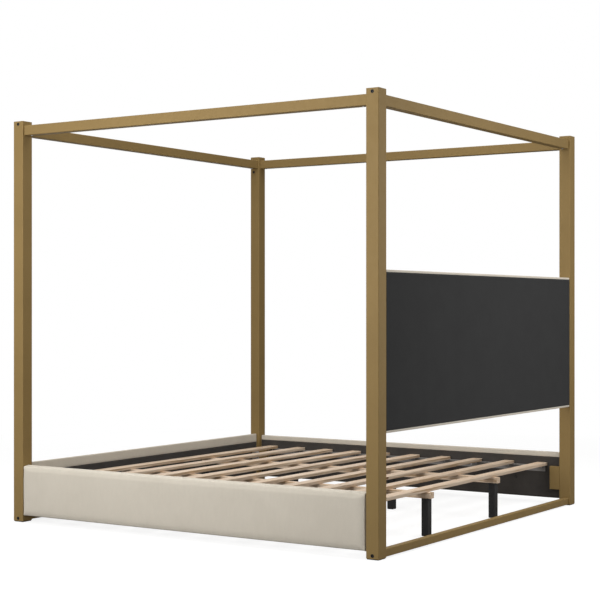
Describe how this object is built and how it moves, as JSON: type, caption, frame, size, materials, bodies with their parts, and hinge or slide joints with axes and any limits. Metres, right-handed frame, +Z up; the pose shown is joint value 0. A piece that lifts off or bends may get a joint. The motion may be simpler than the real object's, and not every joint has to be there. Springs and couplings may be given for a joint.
{
  "type": "four poster canopy bed",
  "caption": "Metal four poster bed frame with an open canopy, padded fabric side rails, foot panel and headboard, and a pine slat base on centre legs.",
  "frame": {"origin": "middle of the footprint on the floor", "axes": "+Z up, +Y towards the head end, +X towards the left of a person lying on their back with the head at the headboard"},
  "size_m": [2.0224, 2.112, 1.972],
  "materials": {
    "gold_steel": "antique gold powder coat, satin",
    "black_plastic": "matt black",
    "black_steel": "black powder coat, satin",
    "grey_steel": "grey powder coat, satin",
    "zinc_steel": "bright zinc plate",
    "pine": "bare planed pine",
    "core_wood": "bare plywood and sawn timber",
    "foam": "cut foam",
    "velvet": "beige velvet with a soft nap",
    "lining": "dark grey non-woven cloth",
    "back_cloth": "black non-woven cloth"
  },
  "bodies": {
    "root": {"bracket_hook_pins": "zinc_steel", "canopy_rail_foot": "gold_steel", "canopy_rail_head": "gold_steel", "canopy_rail_left": "gold_steel", "canopy_rail_right": "gold_steel", "centre_beam_left": "pine", "centre_beam_right": "pine", "centre_legs_left": "black_steel", "centre_legs_right": "black_steel", "corner_brackets": "gold_steel", "floor_rail_foot": "gold_steel", "floor_rail_head": "gold_steel", "foot_panel_angles": "zinc_steel", "foot_panel_board": "core_wood", "foot_panel_bolts": "zinc_steel", "foot_panel_cover": "velvet", "foot_panel_lining": "lining", "foot_panel_padding": "foam", "headboard_back_cloth": "back_cloth", "headboard_cover": "velvet", "headboard_face_board": "core_wood", "headboard_frame": "core_wood", "headboard_keyhole_plates": "zinc_steel", "headboard_padding": "foam", "headboard_studs": "zinc_steel", "leg_foot_glides": "black_plastic", "leg_hanger_bolts": "zinc_steel", "post_foot_glides": "black_plastic", "post_foot_left": "gold_steel", "post_foot_right": "gold_steel", "post_head_left": "gold_steel", "post_head_right": "gold_steel", "post_hole_plugs": "black_plastic", "post_top_caps": "gold_steel", "rail_access_plugs": "black_plastic", "rail_hook_plates": "zinc_steel", "rail_locking_screws": "zinc_steel", "rail_spigots": "gold_steel", "rail_wood_screws": "zinc_steel", "side_rail_board_left": "core_wood", "side_rail_board_right": "core_wood", "side_rail_cover_left": "velvet", "side_rail_cover_right": "velvet", "side_rail_lining_left": "lining", "side_rail_lining_right": "lining", "side_rail_padding_left": "foam", "side_rail_padding_right": "foam", "slat_01": "pine", "slat_02": "pine", "slat_03": "pine", "slat_04": "pine", "slat_05": "pine", "slat_06": "pine", "slat_07": "pine", "slat_08": "pine", "slat_09": "pine", "slat_10": "pine", "slat_ledger_left": "grey_steel", "slat_ledger_right": "grey_steel", "slat_screws": "zinc_steel"}
  },
  "joints": []
}
